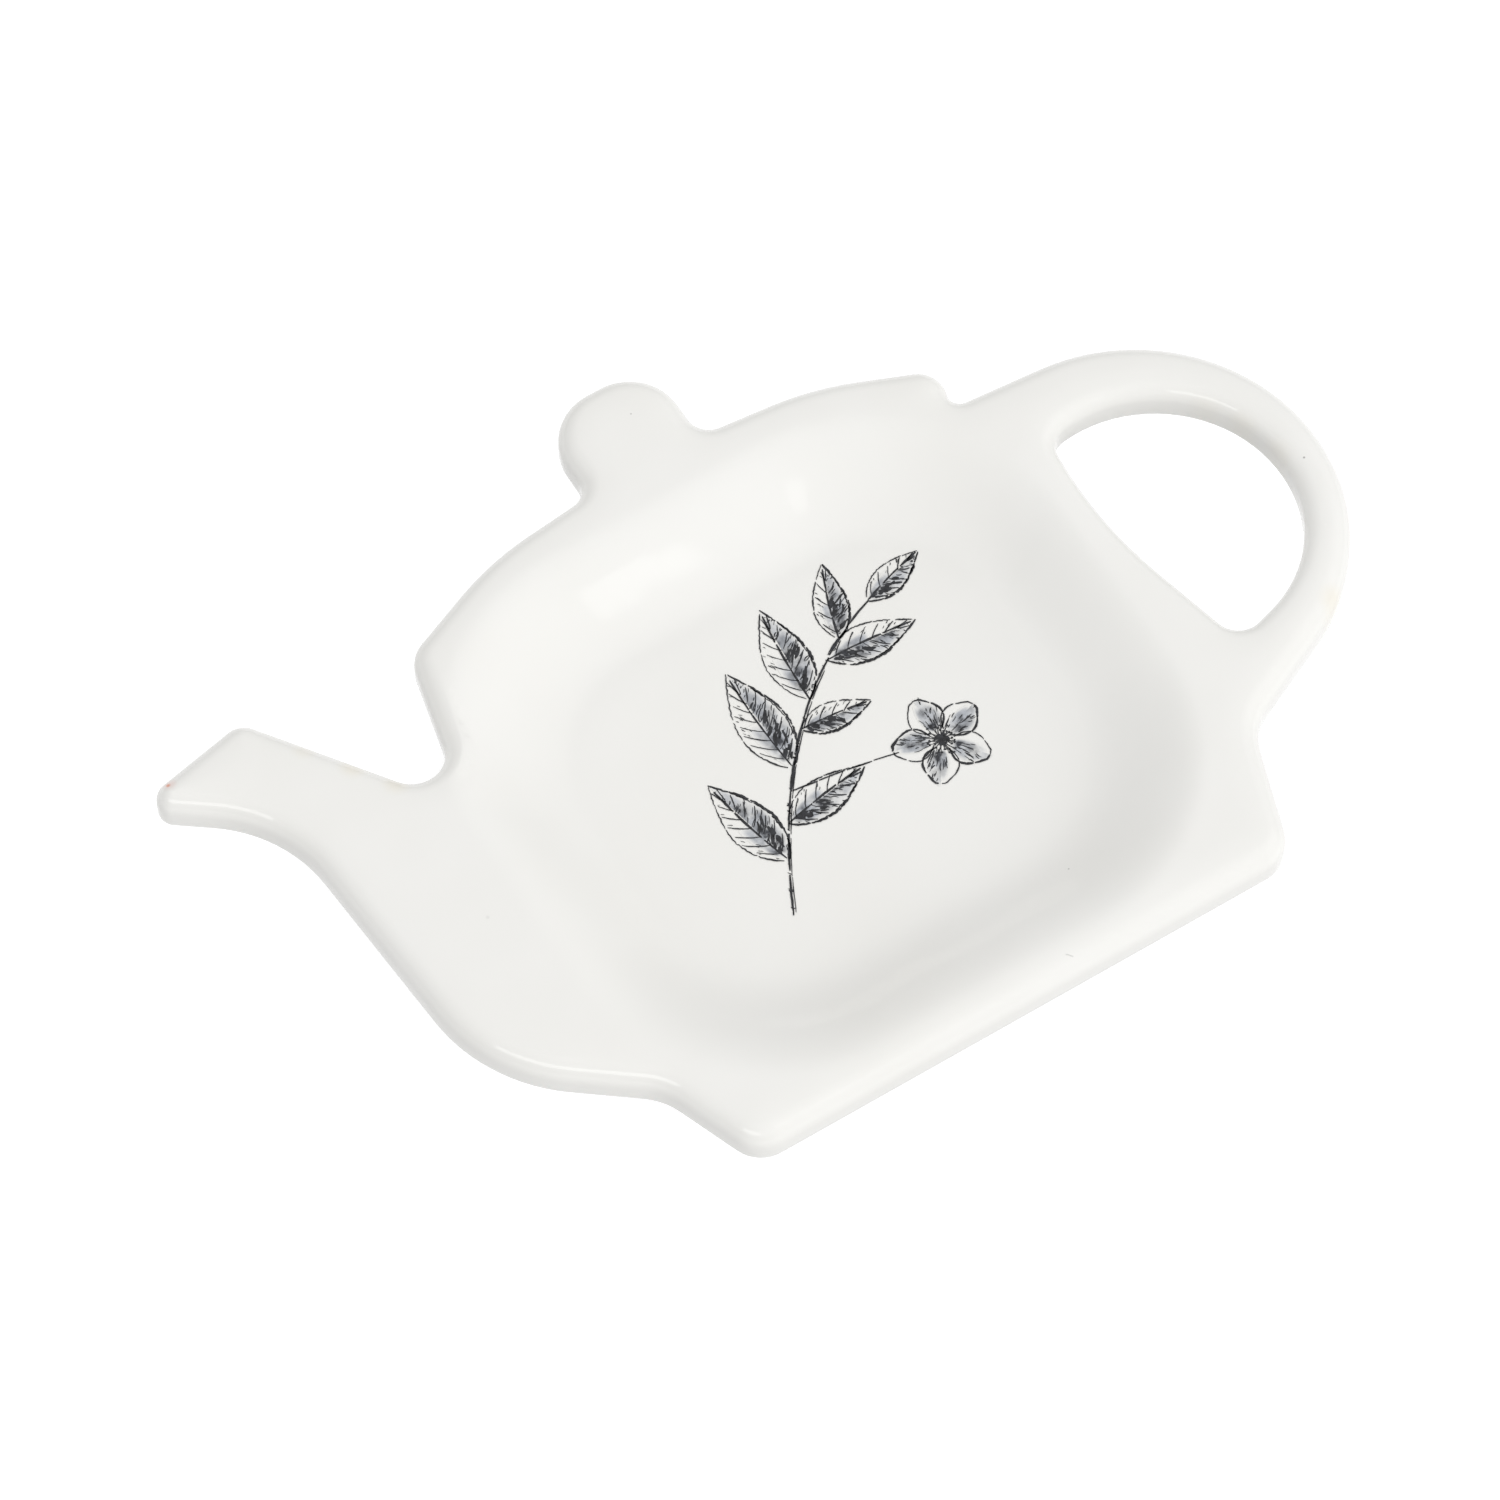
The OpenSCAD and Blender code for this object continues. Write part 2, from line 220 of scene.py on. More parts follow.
left, right, low, high, r = well_floor
foot_corners = [(left, low, r), (right, low, r), (right, high, r), (left, high, r)]
foot_w, foot_soft, foot_sunk, foot_steps = 2.6, 0.35, 0.25, 5
foot_section = [(0, foot_z + foot_sunk)]
foot_section += [(foot_soft * (1 - math.sin(a)), foot_soft * (1 - math.cos(a)))
                 for a in [math.pi / 2 * k / foot_steps for k in range(foot_steps, -1, -1)]]
foot_section += [(foot_w - inset, z) for inset, z in reversed(foot_section)]
foot_points, foot_faces = [], []
for k, (inset, z) in enumerate(foot_section):
    loop = edge_path(foot_corners, inset)
    foot_points += [(x, y, z) for x, y in loop]
    ring_band(foot_faces, k * len(loop), (k + 1) % len(foot_section) * len(loop), len(loop))
tread_clay = bare_clay("tread clay", (0.80, 0.76, 0.69), (0.56, 0.52, 0.46), 0.00007)
foot_ring = piece_from("foot_ring_ground", foot_points, foot_faces, tread_clay,
                       "bare_clay", "foot_ring")


# The glazed dish is everything that shows from above: the teapot outline with a soft
# rounded rim, the finger hole, and the well that slopes down to a flat floor. It
# is dipped in a clear-white glaze and fired again, which leaves it glossy.

neck, ear, loop_at, loop_r = (36.9, 14.5), (30.9, 62.7), (39.4, 39.9), 22
hole_at, hole_r = (41.5, 39.3), 15.1
hole_top, hole_low = (37.4, 54.0), (41.1, 23.5)


def round_side(centre, r, start, finish, side):
    """The one corner whose rounding follows a circle, met by lines from two points."""
    def meets(point, which):
        dx, dy = point[0] - centre[0], point[1] - centre[1]
        return math.atan2(dy, dx) + which * math.acos(r / math.hypot(dx, dy))
    a, b = meets(start, side), meets(finish, -side)
    reach, way = r / math.cos((b - a) / 2), (a + b) / 2
    return (centre[0] + reach * math.cos(way), centre[1] + reach * math.sin(way), r)


teapot = [
    (32, 0, 4), (*neck, 7), round_side(loop_at, loop_r, neck, ear, 1), (*ear, 1.2),
    (32.4, 67.2, 3.2), (19.7, 72.5, 34), (6.85, 73.8, 2.4), (6.85, 84.2, 6),
    (-6.85, 84.2, 6), (-6.85, 73.8, 2.4), (-19.7, 72.5, 34), (-32.4, 67.2, 3.5),
    (-36.5, 49.2, 3.4), (-51.3, 69.8, 2.6), (-65.8, 66.9, 1.9), (-53.3, 57.6, 15.8),
    (-50.7, 22.3, 19.6), (-36.3, 11.2, 7.2), (-32, 0, 4)]
finger_hole = [
    (*hole_top, 2.7), round_side(hole_at, hole_r, hole_top, hole_low, -1),
    (*hole_low, 2.7), (36.3, 42.8, 50)]


def slope_height(x, y, inner, outer, z_inner, z_outer):
    """Height over a smooth slope from one rounded rectangle out to a larger one."""
    def outside(t):
        l, r, lo, hi, rad = [a + (b - a) * t for a, b in zip(inner, outer)]
        qx = np.abs(x - (l + r) / 2) - (r - l) / 2 + rad
        qy = np.abs(y - (lo + hi) / 2) - (hi - lo) / 2 + rad
        return (np.hypot(np.maximum(qx, 0), np.maximum(qy, 0))
                + np.minimum(np.maximum(qx, qy), 0) - rad)
    below, above, halvings = np.zeros_like(x), np.ones_like(x), 22
    for _ in range(halvings):
        t = (below + above) / 2
        far = outside(t) > 0
        below, above = np.where(far, t, below), np.where(far, above, t)
    t = (below + above) / 2
    return z_inner + (z_outer - z_inner) * t * t * (3 - 2 * t)


def top_height(x, y):
    return slope_height(x, y, well_floor, well_mouth, floor_z, rim_z)


bowl_wider, bowl_narrower, bowl_over, under_blend = 2.4, 1, 0.9, 0.7


def grown(box, by):
    return (box[0] - by, box[1] + by, box[2] - by, box[3] + by, box[4] + by)


def under_height(x, y):
    """The bowl's underside, blended softly into the flat underside of the rim."""
    bowl = slope_height(x, y, grown(well_floor, bowl_wider), grown(well_mouth, -bowl_narrower),
                        foot_z, rim_under + bowl_over)
    near = np.maximum(under_blend - np.abs(bowl - rim_under), 0) / under_blend
    return np.minimum(bowl, rim_under) - near * near * under_blend / 4


def inside(x, y, loop):
    """Which points lie inside a closed path."""
    hit = np.zeros(x.shape, bool)
    for (x0, y0), (x1, y1) in zip(loop, loop[1:] + loop[:1]):
        if y0 != y1:
            hit ^= ((y0 > y) != (y1 > y)) & (x < (x1 - x0) * (y - y0) / (y1 - y0) + x0)
    return hit


tiny = 1e-12
sheet_x, sheet_y = (-70, 70), (-2, 90)
row_share, clear_share = 0.866, 0.55


def distance_to(x, y, loop):
    """How far each point lies from the nearest side of a closed path."""
    nearest = np.full(x.shape, np.inf)
    for (x0, y0), (x1, y1) in zip(loop, loop[1:] + loop[:1]):
        dx, dy = x1 - x0, y1 - y0
        t = np.clip(((x - x0) * dx + (y - y0) * dy) / max(dx * dx + dy * dy, tiny), 0, 1)
        nearest = np.minimum(nearest, np.hypot(x - x0 - t * dx, y - y0 - t * dy))
    return nearest


def fill_between(outline, opening, stride):
    """Triangles over the area inside the outline and outside the opening."""
    xs, ys = np.meshgrid(np.arange(*sheet_x, stride), np.arange(*sheet_y, stride * row_share))
    xs = xs + (np.arange(len(xs)) % 2)[:, None] * stride / 2
    x, y = xs.ravel(), ys.ravel()
    keep = inside(x, y, outline) & ~inside(x, y, opening)
    x, y = x[keep], y[keep]
    gap = np.minimum(distance_to(x, y, outline), distance_to(x, y, opening))
    clear = gap > stride * clear_share
    x, y, gap = x[clear], y[clear], gap[clear]
    n, m = len(outline), len(opening)
    edges = [(i, (i + 1) % n) for i in range(n)] + [(n + i, n + (i + 1) % m) for i in range(m)]
    flat = [Vector(p) for p in outline + opening] + [Vector(p) for p in zip(x, y)]
    found = geometry.delaunay_2d_cdt(flat, edges, [], 0, 1e-7)
    made, triangles, source = found[0], found[2], found[3]
    faces = [[source[i][0] for i in t] for t in triangles]
    cx = np.array([sum(made[i][0] for i in t) / 3 for t in triangles])
    cy = np.array([sum(made[i][1] for i in t) / 3 for t in triangles])
    keep = inside(cx, cy, outline) & ~inside(cx, cy, opening)
    return x, y, gap, [f for f, k in zip(faces, keep) if k]


crown, crown_reach = 0.12, 2.4
rim_under_r, rim_upper_r, hole_upper_r = 1.4, 2.3, 1.9
under_steps, upper_steps = 5, 9
top_stride, under_stride = 0.6, 1.0


def rim_section(under_r, upper_r):
    """Insets and heights of a rounded edge that ends in a slight crown."""
    tilt = math.atan(2 * crown / crown_reach)
    upper_top = rim_z - crown + upper_r * (1 - math.cos(tilt))
    lower = [(under_r * (1 - math.sin(a)), rim_under + under_r * (1 - math.cos(a)))
             for a in [math.pi / 2 * k / under_steps for k in range(under_steps + 1)]]
    turns = [math.pi / 2 + (tilt - math.pi / 2) * k / upper_steps for k in range(upper_steps + 1)]
    return lower + [(upper_r * (1 - math.sin(a)), upper_top - upper_r * (1 - math.cos(a)))
                    for a in turns]


dish_points, dish_faces, rim_starts = [], [], []
outer_edge = rim_section(rim_under_r, rim_upper_r)
hole_edge = rim_section(rim_under_r, hole_upper_r)
for corners, section in ((teapot, outer_edge), (finger_hole, hole_edge)):
    starts = []
    for inset, z in section:
        loop = edge_path(corners, inset)
        starts.append(len(dish_points))
        dish_points += [(x, y, z) for x, y in loop]
    for a, b in zip(starts, starts[1:]):
        ring_band(dish_faces, a, b, len(loop))
    rim_starts.append((starts, len(loop)))
for level, height, drop, stride, turned in (
        (-1, top_height, crown, top_stride, False), (0, under_height, 0, under_stride, True)):
    outline = edge_path(teapot, outer_edge[level][0])
    opening = edge_path(finger_hole, hole_edge[level][0])
    x, y, gap, triangles = fill_between(outline, opening, stride)
    spots = list(range(rim_starts[0][0][level], rim_starts[0][0][level] + len(outline)))
    spots += range(rim_starts[1][0][level], rim_starts[1][0][level] + len(opening))
    spots += range(len(dish_points), len(dish_points) + len(x))
    dish_points += list(zip(x, y, height(x, y) - drop * np.maximum(1 - gap / crown_reach, 0) ** 2))
    for t in triangles:
        t = [spots[i] for i in t]
        dish_faces.append(t[::-1] if turned else t)


def uneven_patches():
    """Slow or fine change over the surface, as a number between two values."""
    group = bpy.data.node_groups.new("uneven patches", "ShaderNodeTree")
    face = group.interface
    face.new_socket("Place", in_out="INPUT", socket_type="NodeSocketVector")
    for name in ("Scale", "Detail", "Low", "High"):
        face.new_socket(name, in_out="INPUT", socket_type="NodeSocketFloat")
    face.new_socket("Value", in_out="OUTPUT", socket_type="NodeSocketFloat")
    nodes, links = group.nodes, group.links
    given, result = nodes.new("NodeGroupInput"), nodes.new("NodeGroupOutput")
    noise, spread = nodes.new("ShaderNodeTexNoise"), nodes.new("ShaderNodeMapRange")
    for name, at in (("Place", "Vector"), ("Scale", "Scale"), ("Detail", "Detail")):
        links.new(given.outputs[name], noise.inputs[at])
    spread.inputs["From Min"].default_value = 0.3
    spread.inputs["From Max"].default_value = 0.7
    links.new(given.outputs["Low"], spread.inputs["To Min"])
    links.new(given.outputs["High"], spread.inputs["To Max"])
    links.new(noise.outputs["Fac"], spread.inputs["Value"])
    links.new(spread.outputs["Result"], result.inputs["Value"])
    return group


patches = uneven_patches()


def wide_noise(nodes, links, place, scale, detail, low, high):
    uneven = nodes.new("ShaderNodeGroup")
    uneven.node_tree = patches
    for name, value in (("Scale", scale), ("Detail", detail), ("Low", low), ("High", high)):
        uneven.inputs[name].default_value = value
    links.new(place, uneven.inputs["Place"])
    return uneven.outputs["Value"]


def mixed(nodes, links, share, under, over):
    """One colour over another by a share. Either may be a socket or a colour."""
    mix = nodes.new("ShaderNodeMix")
    mix.data_type = "RGBA"
    links.new(share, mix.inputs["Factor"])
    for value, name in ((under, "A"), (over, "B")):
        if isinstance(value, tuple):
            mix.inputs[name].default_value = (*value, 1)
        else:
            links.new(value, mix.inputs[name])
    return mix.outputs["Result"]


# heights count for little in a spot, so that it stays round on a slope
height_share = 0.15


def spot_share(nodes, links, topside, at, core, edge, strength):
    """How strongly a spot shows: full inside its core, none beyond its edge."""
    reach = nodes.new("ShaderNodeVectorMath")
    reach.operation = "DISTANCE"
    links.new(topside, reach.inputs[0])
    reach.inputs[1].default_value = (at[0], at[1], at[2] * height_share)
    fade = nodes.new("ShaderNodeMapRange")
    fade.interpolation_type = "SMOOTHSTEP"
    fade.inputs["From Min"].default_value = core
    fade.inputs["From Max"].default_value = edge
    fade.inputs["To Min"].default_value = strength
    fade.inputs["To Max"].default_value = 0
    links.new(reach.outputs["Value"], fade.inputs["Value"])
    return fade.outputs["Result"]


glaze, surface, nodes, links = new_material("white glaze")
place = place_in_mm(nodes, links)
cloud = wide_noise(nodes, links, place, 0.05, 2, 0, 1)
colour = mixed(nodes, links, cloud, (0.845, 0.838, 0.808), (0.865, 0.860, 0.835))
squash = nodes.new("ShaderNodeVectorMath")
squash.operation = "MULTIPLY"
squash.inputs[1].default_value = (1, 1, height_share)
links.new(place, squash.inputs[0])
topside = squash.outputs["Vector"]

# thin, warm glaze on a few edges, a rusty fleck with a pink halo on the spout, and grit:
# each mark has its place, the radius of its core, its outer radius and its strength
warm, rust, pink = (0.80, 0.72, 0.54), (0.76, 0.30, 0.18), (0.85, 0.66, 0.62)
grit = (0.10, 0.09, 0.08)
marks = (
    (warm, (52.8, -20.2, 9.0), 0.3, 2.4, 0.30), (warm, (51.6, -22.2, 9.0), 0.3, 2.0, 0.22),
    (warm, (53.2, 5.6, 8.2), 0.5, 2.8, 0.14), (warm, (55.2, 2.3, 8.2), 0.5, 2.8, 0.18),
    (warm, (56.5, -2.3, 8.2), 0.5, 2.8, 0.14),
    (warm, (-43.4, 16.6, 9.4), 0.3, 2.0, 0.28), (warm, (-40.6, 12.6, 9.4), 0.3, 2.0, 0.26),
    (warm, (-46.6, 20.9, 9.4), 0.3, 1.8, 0.16),
    (pink, (-60.3, 24.7, 9.6), 0.1, 1.0, 0.60), (rust, (-60.5, 24.7, 9.6), 0.08, 0.36, 0.90),
    (grit, (59.14, -4.59, 10.5), 0.05, 0.17, 0.60), (grit, (2.43, 36.86, 10.5), 0.03, 0.14, 0.40),
    (grit, (-40.77, -5.73, 10.6), 0.05, 0.30, 0.10), (grit, (13.46, -30.37, 7.0), 0.06, 0.18, 0.75),
    (grit, (6.70, -40.20, 10.4), 0.02, 0.12, 0.40), (grit, (6.86, -40.32, 10.4), 0.02, 0.11, 0.45),
    (grit, (6.98, -40.50, 10.4), 0.02, 0.11, 0.45), (grit, (7.14, -40.62, 10.4), 0.02, 0.12, 0.35))
for tint, at, core, edge, strength in marks:
    share = spot_share(nodes, links, topside, at, core, edge, strength)
    colour = mixed(nodes, links, share, colour, tint)
links.new(colour, surface.inputs["Base Color"])
links.new(wide_noise(nodes, links, place, 0.4, 3, 0.045, 0.075), surface.inputs["Roughness"])
wave = nodes.new("ShaderNodeBump")
wave.inputs["Strength"].default_value = 0.35
wave.inputs["Distance"].default_value = 0.00009
links.new(wide_noise(nodes, links, place, 0.16, 1, 0, 1), wave.inputs["Height"])
links.new(wave.outputs["Normal"], surface.inputs["Normal"])
surface.inputs["IOR"].default_value = 1.5
glazed_dish = piece_from("glazed_dish", dish_points, dish_faces, glaze,
                         "white_glaze", "glaze_coat")


# The printed lines are a transfer laid on the glazed floor and fired again, so they
# are part of the gloss. They draw a sprig of tea with a blossom, in short broken pen
# strokes of black that swell and thin.

print_at, print_size = (1.5, 38.5), (36, 33)
ink_rng = random.Random(11)


def on_print(across_share, up_share):
    return (across_share * print_size[0], up_share * print_size[1])


stem_ends = [on_print(-0.42, -0.48), on_print(-0.14, 0.16), on_print(0.3, 0.34)]
blossom = on_print(0.24, -0.2)
petal_foot_r, petal_l, petal_w = 0.75, 5.0, 3.8
leaf_l, leaf_w = 13, 5.4

# each leaf's place along the stem, its turn in degrees and its share of the full size
leaves = [(0.14, 42, 0.92), (0.24, -48, 0.8), (0.4, 40, 1), (0.52, -52, 0.62),
          (0.62, 44, 0.9), (0.76, -38, 0.8), (0.84, 40, 0.7), (1, -4, 0.62)]


def stem_spot(t):
    a, b, c = stem_ends
    return tuple((1 - t) ** 2 * a[k] + 2 * t * (1 - t) * b[k] + t * t * c[k] for k in (0, 1))


def stem_way(t):
    (x0, y0), (x1, y1) = stem_spot(t - 0.005), stem_spot(t + 0.005)
    return math.atan2(y1 - y0, x1 - x0)


def half_width(u, width):
    return width / 2 * math.sin(math.pi * min(max(u, 0), 1) ** 0.8)


def laid(spot, way):
    """Takes a leaf's own x and y to the print's, from its stalk end and direction."""
    c, s = math.cos(way), math.sin(way)
    return lambda x, y: (spot[0] + c * x - s * y, spot[1] + s * x + c * y)


stroke_points, stroke_faces = [], []

# each pen's heaviest and thinnest line, in millimetres
bold_pen, rib_pen, plain_pen, petal_pen = (0.34, 0.09), (0.32, 0.1), (0.2, 0.06), (0.2, 0.07)
stem_pen, stalk_pen, shade_pen, fine_pen = (0.34, 0.12), (0.24, 0.09), (0.2, 0.05), (0.16, 0.05)

# heights over the glazed floor, in millimetres: lines, then hatching, then the wash below
line_lift, hatch_lift, wash_lift = 0.052, (0.046, 0.056), 0.03


def pen_stroke(points, widths, lift=line_lift):
    """One flat stroke of ink along the points, with its width at each."""
    n = len(points)
    for i, (x, y) in enumerate(points):
        (x0, y0), (x1, y1) = points[max(i - 1, 0)], points[min(i + 1, n - 1)]
        run = math.hypot(x1 - x0, y1 - y0) or 1
        nx, ny = -(y1 - y0) / run, (x1 - x0) / run
        half = widths[i] / 2
        for side in (half, -half):
            stroke_points.append((x + print_at[0] + nx * side, y + print_at[1] + ny * side,
                                  floor_z + lift))
    first = len(stroke_points) - 2 * n
    for i in range(n - 1):
        a = first + 2 * i
        stroke_faces.append((a + 1, a + 3, a + 2, a))


def sketched(curve, start, end, pen, pieces, wander):
    """A pen line along a curve of 0 to 1, broken into strokes that swell and thin."""
    heavy, thin = pen
    span = (end - start) / pieces
    for k in range(pieces):
        a = start + span * (k + ink_rng.uniform(-0.04, 0.1))
        b = start + span * (k + 1 + ink_rng.uniform(-0.12, 0.05))
        load = ink_rng.uniform(0.45, 1)
        sway, lean = ink_rng.uniform(-wander, wander), ink_rng.uniform(-wander, wander)
        points, widths = [], []
        for i in range(9):
            t = i / 8
            x, y = curve(max(a + (b - a) * t, 0))
            points.append((x + sway * (1 - t) + 0.4 * wander * ink_rng.uniform(-1, 1),
                           y + lean * t + 0.4 * wander * ink_rng.uniform(-1, 1)))
            swell = math.sin(math.pi * (0.06 + 0.88 * t)) ** 0.7
            widths.append((thin + (heavy - thin) * load * swell)
                          * ink_rng.uniform(0.8, 1.15))
        pen_stroke(points, widths)


def hatch(place, x, y, angle, length, width):
    """One short shading stroke with tapered ends."""
    bow = ink_rng.uniform(-0.12, 0.12) * length
    points, widths = [], []
    for i in range(5):
        t = i / 4
        along, off = length * (t - 0.5), bow * 4 * t * (1 - t)
        points.append(place(x + along * math.cos(angle) - off * math.sin(angle),
                            y + along * math.sin(angle) + off * math.cos(angle)))
        widths.append(width * (0.25 + 0.75 * math.sin(math.pi * (0.1 + 0.75 * t))))
    pen_stroke(points, widths, ink_rng.uniform(*hatch_lift))


def draw_leaf(place, length, width):
    """A toothed leaf with its ribs, its lower half shaded with short strokes."""
    def edge(side, out=1.0):
        def curve(u):
            teeth = 0.035 * length / 10 * math.sin(2 * math.pi * 17 * u)
            return place(length * u, side * (out * half_width(u, width) + teeth * (0.15 < u < 0.9)))
        return curve
    sketched(edge(1), 0.02, 0.99, plain_pen, 5, 0.06)
    sketched(edge(-1), 0.0, 1.0, bold_pen, 6, 0.06)
    sketched(edge(-1, 0.93), 0.25, 0.8, plain_pen, 3, 0.05)
    sketched(lambda u: place(length * u, 0.05 * width * math.sin(math.pi * u)),
             0, 0.96, rib_pen, 3, 0.03)
    ribs = max(4, round(length / 1.7))
    for k in range(ribs):
        u = 0.1 + 0.68 * k / (ribs - 1)
        for side in (1, -1):
            tip = u + 0.15
            def vein(t, u=u, tip=tip, side=side):
                y = 0.86 * half_width(tip, width) * t ** 0.9
                return place(length * (u + (tip - u) * t ** 1.25), side * y)
            sketched(vein, 0.02, 0.98, fine_pen if side > 0 else shade_pen, 1, 0.03)
    for _ in range(round(4.4 * length)):
        u, v = ink_rng.uniform(0.06, 0.92), ink_rng.random() ** 1.5
        w = half_width(u, width)
        hatch(place, length * u, -w * (0.05 + 0.85 * v), ink_rng.uniform(0.5, 1.1) * -1,
              w * ink_rng.uniform(0.15, 0.5), ink_rng.uniform(0.06, 0.15))
    for _ in range(round(1.1 * length)):
        u = ink_rng.uniform(0.08, 0.9)
        hatch(place, length * u, half_width(u, width) * ink_rng.uniform(0.45, 0.9),
              ink_rng.uniform(0.4, 0.9), ink_rng.uniform(0.25, 0.6), ink_rng.uniform(0.05, 0.1))
    # the darkest folds lie beside the midrib, near the stalk
    for _ in range(round(1.2 * length)):
        u = 0.1 + 0.42 * ink_rng.random() ** 1.4
        w = half_width(u, width)
        hatch(place, length * u, -w * ink_rng.uniform(0.06, 0.55), ink_rng.uniform(-0.9, -0.2),
              w * ink_rng.uniform(0.35, 0.75), ink_rng.uniform(0.2, 0.42))


def draw_petal(place, length, width):
    """A petal with a notched tip, shaded from the foot and along one side."""
    def edge(side):
        def curve(u):
            notch = 0.1 * length * max(0, 1 - abs(u - 1) / 0.12)
            return place(length * u - notch, side * half_width(u, width))
        return curve
    sketched(edge(1), 0.04, 1, petal_pen, 3, 0.05)
    sketched(edge(-1), 0.04, 1, bold_pen, 3, 0.05)
    for _ in range(15):
        v = ink_rng.uniform(-0.75, 0.6)
        x = length * ink_rng.uniform(0.16, 0.52)
        hatch(place, x, v * half_width(x / length, width) * 0.9, v * 0.5,
              ink_rng.uniform(0.4, 1.3), ink_rng.uniform(0.06, 0.13))
    for _ in range(7):
        x = length * ink_rng.uniform(0.5, 0.86)
        hatch(place, x, -half_width(x / length, width) * ink_rng.uniform(0.3, 0.85),
              ink_rng.uniform(-0.7, -0.2), ink_rng.uniform(0.3, 0.8), ink_rng.uniform(0.07, 0.16))


stem_end = 0.995
leaf_places = [(laid(stem_spot(t), stem_way(min(t, stem_end)) + math.radians(turn)),
                leaf_l * share, leaf_w * share) for t, turn, share in leaves]
petal_places = []
petals, first_petal_at = 5, 20
for k in range(petals):
    way = math.radians(first_petal_at + 360 / petals * k)
    foot = (blossom[0] + petal_foot_r * math.cos(way), blossom[1] + petal_foot_r * math.sin(way))
    petal_places.append(laid(foot, way))

for place, length, width in leaf_places:
    draw_leaf(place, length, width)
for place in petal_places:
    draw_petal(place, petal_l, petal_w)

# the stem is drawn twice over, with bark ticks, and the blossom's stalk leaves it low down
second_line_off, bark_ticks, fork_at, stalk_bow = (0.22, -0.14), 34, 0.33, 0.25
sketched(stem_spot, 0, 1, stem_pen, 9, 0.05)
sketched(lambda t: tuple(a + b for a, b in zip(stem_spot(t), second_line_off)),
         0, 0.72, fine_pen, 7, 0.06)
for k in range(bark_ticks):
    t = ink_rng.uniform(0.01, 0.85)
    hatch(laid(stem_spot(t), stem_way(t)), 0, 0, ink_rng.uniform(0.5, 1.3),
          ink_rng.uniform(0.25, 0.6), ink_rng.uniform(0.08, 0.2))
fork = stem_spot(fork_at)
sketched(lambda t: (fork[0] + (blossom[0] - fork[0]) * t,
                    fork[1] + (blossom[1] - fork[1]) * t + stalk_bow * math.sin(math.pi * t)),
         0, 0.74, stalk_pen, 4, 0.04)

# the blossom's eye: threads with a dot on each, round a dark middle
eye, threads, eye_strokes, eye_r = laid(blossom, 0), 30, 26, 0.75
for k in range(threads):
    way = 2 * math.pi * (k + ink_rng.uniform(-0.3, 0.3)) / threads
    reach = ink_rng.uniform(0.95, 2.0)
    hatch(eye, 0.5 * reach * math.cos(way), 0.5 * reach * math.sin(way), way, reach,
          ink_rng.uniform(0.07, 0.13))
    hatch(eye, reach * math.cos(way), reach * math.sin(way), way + 1.2, 0.28, 0.24)
for k in range(eye_strokes):
    way, reach = ink_rng.uniform(0, 2 * math.pi), eye_r * ink_rng.random() ** 0.5
    hatch(eye, reach * math.cos(way), reach * math.sin(way), ink_rng.uniform(0, 3.1), 0.5, 0.26)

ink, surface, nodes, links = new_material("black ink")
place = place_in_mm(nodes, links)
load = wide_noise(nodes, links, place, 2.2, 3, 0, 1)
links.new(mixed(nodes, links, load, (0.010, 0.010, 0.011), (0.040, 0.042, 0.048)),
          surface.inputs["Base Color"])
links.new(wide_noise(nodes, links, place, 0.9, 2, 0.12, 0.2), surface.inputs["Roughness"])
surface.inputs["IOR"].default_value = 1.5
print_lines = piece_from("print_pen_strokes", stroke_points, stroke_faces, ink,
                         "black_ink", "print_line_ink")


# The grey wash is the same transfer's second tone: cool diluted grey brushed over the
# shaded half of each leaf and petal, soft at its edges, with darker pools.

wash_points, wash_faces, wash_spots = [], [], []


def brush_wash(place, length, width, side, start, end, reach):
    """A patch on one half of a blade, with its own 0 to 1 run and reach kept for soft edges."""
    rows, columns = 16, 6
    first = len(wash_points)
    for i in range(rows + 1):
        u = start + (end - start) * i / rows
        for j in range(columns + 1):
            v = j / columns
            x, y = place(length * u, side * reach * v * half_width(u, width))
            wash_points.append((x + print_at[0], y + print_at[1], floor_z + wash_lift))
            wash_spots.append((i / rows, v))
    for i in range(rows):
        for j in range(columns):
            a = first + i * (columns + 1) + j
            quad = (a, a + columns + 1, a + columns + 2, a + 1)
            wash_faces.append(quad if side > 0 else quad[::-1])


for place, length, width in leaf_places:
    brush_wash(place, length, width, -1, 0.02, 0.97, 0.97)
    brush_wash(place, length, width, 1, 0.05, 0.5, 0.6)
for place in petal_places:
    brush_wash(place, petal_l, petal_w, -1, 0.06, 0.95, 0.94)
    brush_wash(place, petal_l, petal_w, 1, 0.06, 0.8, 0.45)

wash, surface, nodes, links = new_material("grey wash")
place = place_in_mm(nodes, links)
spot = nodes.new("ShaderNodeUVMap")
spot.uv_map = "patch"
sides = nodes.new("ShaderNodeSeparateXYZ")
links.new(spot.outputs["UV"], sides.inputs["Vector"])


def sum_of(operation, first, second=None, third=None, clamp=False):
    node = nodes.new("ShaderNodeMath")
    node.operation = operation
    node.use_clamp = clamp
    for socket, value in zip(node.inputs, (first, second, third)):
        if isinstance(value, (int, float)):
            socket.default_value = value
        elif value is not None:
            links.new(value, socket)
    return node.outputs["Value"]


